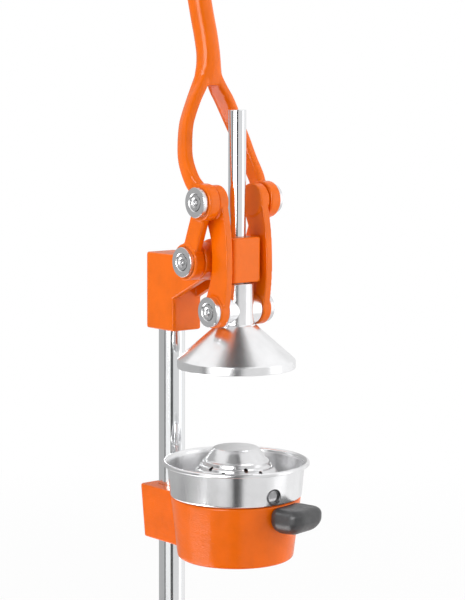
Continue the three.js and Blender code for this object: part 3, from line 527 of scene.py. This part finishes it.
# Juice bowl with its rolled rim, strainer seat, spout and overflow hole
def juice_bowl():
    skin = 1.4
    bowl = spun([
        (20, 215.3), (20, BOWL_BOTTOM - 5), (50.8, BOWL_BOTTOM), (67.8, BOWL_BOTTOM),
        (70.7, BOWL_TOP - 4.5), (73.0, BOWL_TOP - 3.9), (75.9, BOWL_TOP - 3.6),
        (75.9, BOWL_TOP), (71.5, BOWL_TOP), (69.2, BOWL_TOP - 6),
        (66.4, BOWL_BOTTOM + skin), (50.8, BOWL_BOTTOM + skin),
        (18.6, BOWL_BOTTOM - 5 + skin), (18.6, 215.3)],
        192, [(0, 0.4), (1, 2), (3, 2), (4, 0.4), (5, 0.2), (6, 0.4), (7, 2.0), (8, 2.1),
              (9, 4), (10, 2.2), (12, 1.6), (13, 0.4)], closed=True, segments=5)
    bowl = keep(move(bowl, (0, ROD_Y, 0)), "juice_bowl_pressed", 35)
    hole = turn(turn(bar(8, 50, 90), 90, "X"), OVERFLOW_TURN, "Z")
    drill(bowl, move(hole, (0, ROD_Y, BOWL_BOTTOM + OVERFLOW_UP)))
    lip = spun([(6.4, 64.6), (8.3, 64.6), (8.3, 69.3), (7.4, 69.9), (6.4, 68.6)], 64,
               [(2, 0.5), (3, 0.5), (4, 0.8)], closed=True)
    lip = turn(turn(lip, 90, "X"), OVERFLOW_TURN, "Z")
    lip = keep(move(lip, (0, ROD_Y, BOWL_BOTTOM + OVERFLOW_UP)), "overflow_lip")
    return bowl, lip


bowl, lip = juice_bowl()
dress(bowl, bowl_steel, "frame", "juice_bowl")
# the overflow lip in painted shade
dress(lip, lip_painted_shade, "frame")


# Strainer dome: flat top, two pressed steps, holes and a foot flange
def strainer_dome():
    foot = BOWL_BOTTOM + 1.7
    tall = 48.2
    outside = [(58, 0), (58, 1.4), (53.2, 1.4), (52.2, 2.4), (44.6, tall - 28),
               (41.2, tall - 22.8), (38, tall - 21), (37.4, tall - 18),
               (34.9, tall - 16.8), (34.4, tall - 14.6), (34.2, tall - 13.4),
               (31.4, tall - 11.9), (29.8, tall - 9.2), (25.4, tall - 2.8), (22.6, tall),
               (0, tall)]
    inside = [(0, tall - 1.4), (21.6, tall - 1.4), (24.3, tall - 3.6), (28.4, tall - 10),
              (31.6, tall - 15.4), (34.4, tall - 20), (39.8, tall - 24), (43.4, tall - 30),
              (51, 2.2), (51, 0)]
    dome = spun(inside + outside, 144, [
        (1, 1), (13, 0.8), (14, 3), (15, 1.6), (16, 0.8), (17, 0.8), (18, 0.6), (19, 0.6),
        (20, 0.7), (21, 0.6), (22, 1.6), (23, 2.5), (24, 1.1)], segments=4)
    dome = keep(move(dome, (0, ROD_Y, foot)), "strainer_dome_pressed", 35)
    for share, first in ((0.627, -23.4), (0.55, 1)):  # height and first angle of a row of holes
        tools = []
        for i in range(6):
            hole = turn(bar(2.2, 12, 60, steps=24), 90, "X")
            tools.append(turn(hole, first + 60 * i, "Z"))
        drill(dome, move(gather(*tools), (0, ROD_Y, foot + share * tall)))
    return dome


dress(strainer_dome(), dome_steel, "frame", "strainer_dome")


# Head bracket: clamp box, arm with two cheeks, guide block and pivot bosses
def head_bracket():
    box = block(39, 47, 81, 4, 1.8)
    box = keep(move(box, (0, COLUMN_Y - 2.7, HEAD_BOTTOM)), "head_box")
    drill_clamp(box, HEAD_BOTTOM - 2, HEAD_BOTTOM + 64, HEAD_BOTTOM, 64)

    guide = keep(move(block(37.4, 35.8, 46.1, 4, 2), (0, ROD_Y + 1.1, BLOCK_BOTTOM)), "guide")
    drill(guide, move(bar(12, BLOCK_BOTTOM - 2, BLOCK_TOP + 2), (0, ROD_Y, 0)))

    root = COLUMN_Y - 22.2
    pocket_back = COLUMN_Y - 26.2
    front = ROD_Y + 15
    arm = keep(slab([
        (root, HEAD_BOTTOM + 33), (root, HEAD_TOP - 1.5), (pocket_back, HEAD_TOP - 1.5),
        (PIVOT_B.y + 19, HEAD_TOP + 3), (PIVOT_B.y, BLOCK_TOP - 3), (front, BLOCK_TOP - 3),
        (front, BLOCK_BOTTOM + 1.5), (ROD_Y + 33, HEAD_BOTTOM + 59)], -19.5, 19.5, 1.5,
        [(7, 6), (3, 8), (4, 6)]), "arm")
    pocket_front = ROD_Y + 23
    pocket = move(block(23, pocket_back - pocket_front, 73, 1.5, 0),
                  (0, (pocket_front + pocket_back) / 2, HEAD_BOTTOM))
    drill(arm, pocket)
    housing = keep(side_bar(12, -11.5, 11.5, 1, PIVOT_B), "housing")
    bosses = [keep(side_bar(19, 18, 33, side, PIVOT_B, 1.0), "boss") for _, side in SIDES]
    return cast("head_bracket_body", [box, guide, arm, housing, *bosses], 0.85, 7)


dress(head_bracket(), orange_coat, "frame", "head_bracket")


# Links: bowed plates with a boss at each end
def link(name, side):
    near, far = sorted((22.4 * side, 30.2 * side))
    web = slab([
        (-16.6, 4), (-20.2, 20), (-22, 40), (-22.6, LINK_LENGTH / 2), (-22, LINK_LENGTH - 40),
        (-20.2, LINK_LENGTH - 20), (-16.6, LINK_LENGTH - 4), (0, LINK_LENGTH + 3),
        (16.2, LINK_LENGTH - 5), (6.5, LINK_LENGTH - 24), (2.2, LINK_LENGTH - 40),
        (0.9, LINK_LENGTH / 2), (2.2, 40), (6.5, 24), (16.2, 5), (0, -3)],
        near, far, 1.4, [(i, 12) for i in (1, 2, 3, 4, 5, 9, 10, 11, 12, 13)])
    web = keep(web, "web")
    ends = []
    for height, inner in ((0, 22.4), (LINK_LENGTH, 21.2)):
        eye = side_bar(17, inner, 33, side, (0, 0, height), 1.2, 96)
        ends.append(keep(eye, "eye"))
    made = cast(name, [web, *ends], 0.75, 6)
    lean = -math.asin((PIVOT_A.y - ROD_Y) / LINK_LENGTH)
    made.data.transform(Matrix.Translation(PIVOT_C * MM) @ Matrix.Rotation(lean, 4, "X"))
    return made


for side_name, side in SIDES:
    dress(link(f"link_{side_name}_body", side), orange_coat, "links", f"link_{side_name}")


# Lever: two bowed arms that meet in a round shaft
FORK_REACH = 42.5  # an arm's middle from the middle plane at its widest
FORK_BACK = 43
FORK_RISE = 124
ARM_HALF_WIDTH = 6
ARM_HALF_DEPTH = 9.5
ARM_TOE = 20  # degrees
ARM_STEPS = 40
SHAFT_RADIUS = 12.2
SHAFT_STEPS = 48
FORK = [  # rise share, set-back share, reach share, depth share, toe share
    (0, 0, 0.94, 1, 0), (0.09, 0.2, 0.94, 0.95, 0), (0.18, 0.39, 1, 0.93, 0.2),
    (0.33, 0.65, 0.97, 0.95, 0.4), (0.48, 0.8, 0.875, 1, 0.6), (0.61, 0.91, 0.75, 1.05, 0.8),
    (0.705, 0.95, 0.63, 1.1, 1), (0.815, 0.975, 0.47, 1.13, 1), (0.9, 0.995, 0.325, 1.12, 0.7),
    (1, 1, 0.18, 1.0, 0.2), (1.1, 1, 0.05, 0.95, 0)]
SHAFT = [  # rise share, set-back share, width share, depth share
    (0.386, 0.511, 1.52, 0.78), (0.405, 0.512, 1.4, 0.86), (0.427, 0.511, 1.24, 0.94),
    (0.45, 0.508, 1.1, 1), (0.475, 0.51, 1.03, 1.01), (0.506, 0.523, 1, 1), (0.56, 0.568, 1, 1),
    (0.613, 0.624, 1, 1), (0.675, 0.685, 1, 1), (1, 1, 1, 1)]


def between(points, t):
    """A smooth path through a list of points, t from 0 to 1."""
    spot = t * (len(points) - 1)
    i = min(int(spot), len(points) - 2)
    u = spot - i
    a, b = points[max(i - 1, 0)], points[i]
    c, d = points[i + 1], points[min(i + 2, len(points) - 1)]
    return [0.5 * (2 * q + (r - p) * u + (2 * p - 5 * q + 4 * r - s) * u * u
                   + (3 * q - p - 3 * r + s) * u ** 3) for p, q, r, s in zip(a, b, c, d)]


def lever_arm(side):
    rows = [between(FORK, i / ARM_STEPS) for i in range(ARM_STEPS + 1)]
    spots = [Vector((side * FORK_REACH * out, PIVOT_A.y + FORK_BACK * back,
                     PIVOT_A.z + FORK_RISE * rise)) for rise, back, out, _, _ in rows]
    stations = []
    for i, (row, spot) in enumerate(zip(rows, spots)):
        way = (spots[min(i + 1, ARM_STEPS)] - spots[max(i - 1, 0)]).normalized()
        upright = math.hypot(way.y, way.z)
        deep = (way.z / upright, -way.y / upright)
        stations.append((spot, ARM_HALF_WIDTH / upright, ARM_HALF_DEPTH * row[3], deep,
                         side * ARM_TOE * row[4]))
    return swept(stations, 0.62, 28)


def on_shaft(rise, back):
    """A place on the shaft's middle line, by shares of its rise and set-back."""
    return Vector((0, PIVOT_A.y + SHAFT_BACK * back, PIVOT_A.z + SHAFT_RISE * rise))


def lever_shaft():
    rows = [between(SHAFT, i / SHAFT_STEPS) for i in range(SHAFT_STEPS + 1)]
    spots = [on_shaft(rise, back) for rise, back, _, _ in rows]
    stations = []
    for i, (row, spot) in enumerate(zip(rows, spots)):
        way = (spots[min(i + 1, SHAFT_STEPS)] - spots[max(i - 1, 0)]).normalized()
        stations.append((spot, SHAFT_RADIUS * row[2], SHAFT_RADIUS * row[3],
                         (way.z, -way.y), 0))
    return swept(stations, 1.0, 40)


def lever():
    parts = [keep(lever_shaft(), "shaft")]
    for _, side in SIDES:
        parts.append(keep(lever_arm(side), "arm"))
        tail = block(9.5, 21, 66, 2.5, 0)
        turn(move(tail, (side * 40.05, 0, 0)), 20.9, "X")
        parts.append(keep(move(tail, PIVOT_B), "tail"))
        for pivot in (PIVOT_A, PIVOT_B):
            parts.append(keep(side_bar(18.8, 33.6, 46.5, side, pivot, 1.4, 96), "boss"))
        dish = side_bar(15.9, 44.5, 60, side, PIVOT_B, 0, 96)
        drill(parts[-1], dish)
    return cast("lever_body", parts, 0.85, 9)


dress(lever(), orange_coat, "lever", "lever")


def lever_grip():
    tip = on_shaft(1, 1)
    root = on_shaft(*SHAFT[-2][:2])
    lean = math.degrees(math.atan2(tip.y - root.y, tip.z - root.z))
    sleeve = spun([
        (0, -8), (12.4, -8), (12.4, -94.6), (15.4, -94.6), (15.4, -88), (14.7, -84),
        (15.2, -55), (15.4, -18), (15.4, 0), (13.2, 5.2), (7.6, 8.3), (0, 9.1)], 96,
        [(3, 1.2), (4, 1.5), (5, 3), (6, 20), (7, 10), (8, 2.4), (9, 3), (10, 3)])
    return keep(move(turn(sleeve, -lean, "X"), tip), "lever_grip_sleeve")


dress(lever_grip(), black_grip, "lever", "lever_grip")


# Front grip on the cup
def front_grip():
    tall = 26
    grip = block(48, 40, tall, 13, 0, 10)
    round_corners(grip, [e for e in rims(grip, 2) if e.verts[0].co.z > 0], 8, 10)
    round_corners(grip, [e for e in rims(grip, 2) if e.verts[0].co.z < 1], 13.5, 12)
    for v in grip.verts:
        tip = min(max((-v.co.y + 2) / 22, 0), 1)
        v.co.z += 6 * tip * tip * (1 - v.co.z / tall)
    move(grip, (0, -79, CUP_TOP - 27.5))
    grip = keep(grip, "front_grip_moulding")
    grip.data.transform(Matrix.Translation((0, ROD_Y * MM, 0))
                        @ Matrix.Rotation(math.radians(11), 4, "Z"))
    room = spun([(0, CUP_BOTTOM), (60.1, CUP_BOTTOM), (67.5, CUP_TOP), (0, CUP_TOP)], 144)
    return drill(grip, move(room, (0, ROD_Y, 0)))


dress(front_grip(), black_grip, "frame", "front_grip")


# Pivot caps and countersunk screws
def cap(name, face, side, pivot):
    shape = spun([
        (4.2, face), (15.3, face), (15.3, face + 5.1), (9.4, face + 5.1),
        (4.2, face + 0.9)], 96, [(1, 0.4), (2, 0.7), (3, 0.25)], closed=True, segments=3)
    return keep(lay_along_x(shape, side, pivot), name, 25)


def cap_screw(name, face, side, pivot):
    top = face + 5.1
    body = spun([(0, face - 11.9), (3.7, face - 11.9), (3.7, top - 4.2), (8.4, top - 0.2),
                 (5.2, top), (4.6, top - 0.6), (0, top - 0.6)], 64,
                [(3, 0.35), (4, 0.2)], segments=3)
    body = keep(lay_along_x(body, side, pivot), name, 25)
    socket = turn(bar(2.9, top - 3.2, top + 2, steps=6), 10, "Z")
    socket = lay_along_x(socket, side, pivot)
    return drill(body, socket)


FACES = {"a": 47.1, "b": 45.1, "c": 33.3}  # where each cap starts, out from the middle
for side_name, side in SIDES:
    for letter, pivot in PIVOTS:
        body = "lever" if letter == "b" else "links"
        face = FACES[letter]
        disc = cap(f"cap_{letter}_{side_name}", face, side, pivot)
        dress(disc, cap_face[letter], body, f"pivot_{letter}_cap_{side_name}")
        screw = cap_screw(f"screw_{letter}_{side_name}", face, side, pivot)
        dress(screw, screw_steel, body, f"pivot_{letter}_screw_{side_name}")


# Base plate with the column socket, and its feet
def base_plate():
    plate = keep(move(block(189.8, 279.8, 20, 26, 4, 12), (0, 0, 10)), "plate")
    pocket = move(block(174, 264, 13, 18, 0, 12), (0, 0, 8))
    drill(plate, pocket)
    parts = [plate]
    for share in (-0.25, 0, 0.25):
        parts.append(keep(move(block(182, 6, 15.5, 1, 0, 2), (0, share * 280, 10)), "rib"))
    parts.append(keep(move(block(6, 272, 15.5, 1, 0, 2), (0, 0, 10)), "rib"))
    for x in (-FOOT_X, FOOT_X):
        for y in (-FOOT_Y, FOOT_Y):
            parts.append(keep(move(bar(12, 10, 25.5), (x, y, 0)), "pad"))
    socket = spun([(0, 15), (11.6, 15), (11.6, 10), (27, 10), (27, 21), (34, 21), (34, 30),
                   (27, 37), (27, 60), (COLUMN_BORE, 60), (COLUMN_BORE, 22.7), (0, 22.7)],
                  96, [(7, 5), (8, 2), (9, 0.8)])
    parts.append(keep(move(socket, (0, COLUMN_Y, 0)), "socket"))
    return cast("base_plate_body", parts, 1.3, 6)


dress(base_plate(), orange_coat, "frame", "base_plate")

for end, y in (("front", -FOOT_Y), ("back", FOOT_Y)):
    for side_name, side in SIDES:
        foot = spun([(5.6, 0), (11.5, 0), (14, 9.7), (2.8, 9.7), (2.8, 5), (5.6, 5)], 64,
                    [(0, 0.4), (1, 1), (2, 1)], closed=True)
        foot = keep(move(foot, (side * FOOT_X, y, 0)), f"foot_pad_{end}_{side_name}")
        dress(foot, black_rubber, "frame", f"foot_{end}_{side_name}")


# The other CAD nodes keep their shapes and get their finishes.
for name, node in nodes.items():
    if node.hide_render:
        continue
    node.data.materials.clear()
    node.data.materials.append(bearing_bronze if "bush" in name else zinc_plate)


# Camera at the photo's viewing angle, from the sizes read off the photo
def place_camera():
    azimuth, pitch, yaw, roll = (math.radians(a) for a in (CAMERA_AZIMUTH, 6.915, 0.121, 0.238))
    sensor = 36
    distance, lens = 1.9829, 1960.74 * sensor / 600  # in pixels of the photo, 600 high
    right = Vector((math.cos(azimuth), -math.sin(azimuth), 0))
    ahead = Vector((math.sin(azimuth), math.cos(azimuth), 0))
    spot = Vector((0, ROD_Y * MM, 0.68853)) - ahead * distance
    right2 = right * math.cos(yaw) + ahead * math.sin(yaw)
    ahead2 = ahead * math.cos(yaw) - right * math.sin(yaw)
    down = Vector((0, 0, -1)) * math.cos(pitch) - ahead2 * math.sin(pitch)
    forward = ahead2 * math.cos(pitch) + Vector((0, 0, -1)) * math.sin(pitch)
    across = right2 * math.cos(roll) - down * math.sin(roll)
    below = right2 * math.sin(roll) + down * math.cos(roll)
    data = bpy.data.cameras.new("photo_camera")
    data.sensor_fit = "AUTO"
    data.sensor_width = sensor
    data.lens = lens
    data.clip_start, data.clip_end = 0.05, 30
    camera = bpy.data.objects.new("photo_camera", data)
    camera.matrix_world = Matrix.Translation(spot) @ Matrix(
        (across, -below, -forward)).transposed().to_4x4()
    bpy.context.scene.collection.objects.link(camera)
    bpy.context.scene.camera = camera


place_camera()


# Studio: pale floor, white surroundings, tone cards and soft lamps
def seen_directly(tree):
    """1 where a ray comes from the camera, a reflection or glass, and 0 for soft light."""
    paths = tree.nodes.new("ShaderNodeLightPath")
    seen = paths.outputs["Is Camera Ray"]
    for other in ("Is Glossy Ray", "Is Transmission Ray"):
        both = tree.nodes.new("ShaderNodeMath")
        both.operation = "MAXIMUM"
        tree.links.new(seen, both.inputs[0])
        tree.links.new(paths.outputs[other], both.inputs[1])
        seen = both.outputs[0]
    return seen


def surroundings(level):
    world = bpy.data.worlds.new("studio")
    bpy.context.scene.world = world
    world.use_nodes = True
    tree = world.node_tree
    lit = tree.nodes["Background"]
    lit.inputs["Color"].default_value = (1, 1, 1, 1)
    lit.inputs["Strength"].default_value = level
    white = tree.nodes.new("ShaderNodeBackground")
    white.inputs["Color"].default_value = (1, 1, 1, 1)
    white.inputs["Strength"].default_value = 1
    choice = tree.nodes.new("ShaderNodeMixShader")
    tree.links.new(seen_directly(tree), choice.inputs[0])
    tree.links.new(lit.outputs[0], choice.inputs[1])
    tree.links.new(white.outputs[0], choice.inputs[2])
    tree.links.new(choice.outputs[0], tree.nodes["World Output"].inputs["Surface"])


def pale_floor():
    bm = bmesh.new()
    bmesh.ops.create_grid(bm, x_segments=1, y_segments=1, size=9000)
    floor = keep(bm, "floor")
    paint = bpy.data.materials.new("pale_floor")
    paint.use_nodes = True
    tree = paint.node_tree
    matt = tree.nodes["Principled BSDF"]
    matt.inputs["Base Color"].default_value = (0.92, 0.92, 0.92, 1)
    matt.inputs["Roughness"].default_value = 0.9
    glow = tree.nodes.new("ShaderNodeEmission")
    glow.inputs["Strength"].default_value = 1
    place = tree.nodes.new("ShaderNodeTexCoord")
    far = tree.nodes.new("ShaderNodeVectorMath")
    far.operation = "LENGTH"
    tree.links.new(place.outputs["Object"], far.inputs[0])
    fade = tree.nodes.new("ShaderNodeMapRange")
    for socket, value in (("From Min", 0.35), ("From Max", 1.3), ("To Min", 0.8), ("To Max", 1)):
        fade.inputs[socket].default_value = value
    tree.links.new(far.outputs["Value"], fade.inputs["Value"])
    part = tree.nodes.new("ShaderNodeMath")
    part.operation = "MULTIPLY"
    tree.links.new(seen_directly(tree), part.inputs[0])
    tree.links.new(fade.outputs[0], part.inputs[1])
    mix = tree.nodes.new("ShaderNodeMixShader")
    tree.links.new(part.outputs[0], mix.inputs[0])
    tree.links.new(matt.outputs[0], mix.inputs[1])
    tree.links.new(glow.outputs[0], mix.inputs[2])
    tree.links.new(mix.outputs[0], tree.nodes["Material Output"].inputs["Surface"])
    floor.data.materials.append(paint)
    floor.visible_glossy = False


def glossy_only(made, level):
    """A stage piece of plain brightness that only metal and gloss see."""
    paint = bpy.data.materials.new(made.name + "_tone")
    paint.use_nodes = True
    tree = paint.node_tree
    glow = tree.nodes.new("ShaderNodeEmission")
    glow.inputs["Color"].default_value = (level, level, level, 1)
    glow.inputs["Strength"].default_value = 1
    tree.links.new(glow.outputs[0], tree.nodes["Material Output"].inputs["Surface"])
    made.data.materials.append(paint)
    made.visible_camera = False
    made.visible_diffuse = False
    made.visible_shadow = False
    made.visible_volume_scatter = False


def studio_wall(name, from_angle, to_angle, level, low, high, distance=2600):
    """A curved card round the press, between two angles from the camera and two heights."""
    bm = bmesh.new()
    ends = [bm.verts.new(around(from_angle, distance, height)) for height in (low, high)]
    edge = bm.edges.new(ends)
    bmesh.ops.spin(bm, geom=[*ends, edge], cent=(0, 0, 0), axis=(0, 0, 1), dvec=(0, 0, 0),
                   angle=math.radians(to_angle - from_angle), steps=12, use_merge=False,
                   use_duplicate=False)
    glossy_only(keep(bm, name), level)


def studio_ceiling(name, radius, height, level):
    bm = bmesh.new()
    bmesh.ops.create_circle(bm, cap_ends=True, segments=48, radius=radius)
    glossy_only(keep(move(bm, (0, ROD_Y, height)), name), level)


def around(angle, distance, height):
    """A place in the studio: angle from the camera, positive to the right in the photo."""
    way = math.radians(angle - CAMERA_AZIMUTH)
    return (math.sin(way) * distance, -math.cos(way) * distance, height)


def soft_lamp(name, spot, size, power):
    light = bpy.data.lights.new(name, "AREA")
    light.shape = "SQUARE"
    light.size = size
    light.energy = power
    lamp = bpy.data.objects.new(name, light)
    lamp.location = Vector(spot) * MM
    lamp.visible_glossy = False
    aim = Vector((0, ROD_Y * MM, 0.45)) - lamp.location
    lamp.rotation_mode = "QUATERNION"
    lamp.rotation_quaternion = aim.to_track_quat("-Z", "Y")
    bpy.context.scene.collection.objects.link(lamp)


surroundings(0.52)
pale_floor()
WALL_TONES = {  # row name: low edge, high edge, (from angle, to angle, level) ...
    "low": (-4000, -1020, (
        (-180, -98, 1.7), (-98, -52, 6), (-52, 6, 0.0), (6, 180, 0.85))),
    "middle": (-1020, -660, (
        (-180, -69, 0.25), (-69, -46, 0.4), (-46, -30, 0.7), (-30, -5, 0.95), (-5, 12, 0.0),
        (12, 60, 0.86), (60, 140, 1), (140, 180, 0.8))),
    "upper": (-660, 1900, (
        (-180, -68, 0.48), (-68, -57, 0.12), (-57, -13, 1), (-13, -10, 0.4), (-10, 8, 0.08),
        (8, 12, 0.3), (12, 68, 0.76), (68, 94, 1.4), (94, 140, 0.95), (140, 180, 0.85))),
    "high": (1900, 9000, ((-44, 4, 0.3), (4, 24, 0.1))),
}
for row, (low, high, tones) in WALL_TONES.items():
    for start, end, level in tones:
        studio_wall(f"{row}_wall_{start + 180}", start, end, level, low, high)
studio_wall("left_strip", -40, -12, 8, 200, 1900, 2500)
studio_ceiling("grey_ceiling", 1400, 4500, 0.4)
studio_ceiling("dark_ceiling", 850, 4400, 0.05)
soft_lamp("right_lamp", around(86, 2200, 1000), 2.0, 30)
soft_lamp("left_lamp", around(-60, 2400, 1300), 1.8, 33)
soft_lamp("top_lamp", (200, 100, 2300), 1.2, 10)

bpy.context.scene.view_settings.view_transform = "Standard"
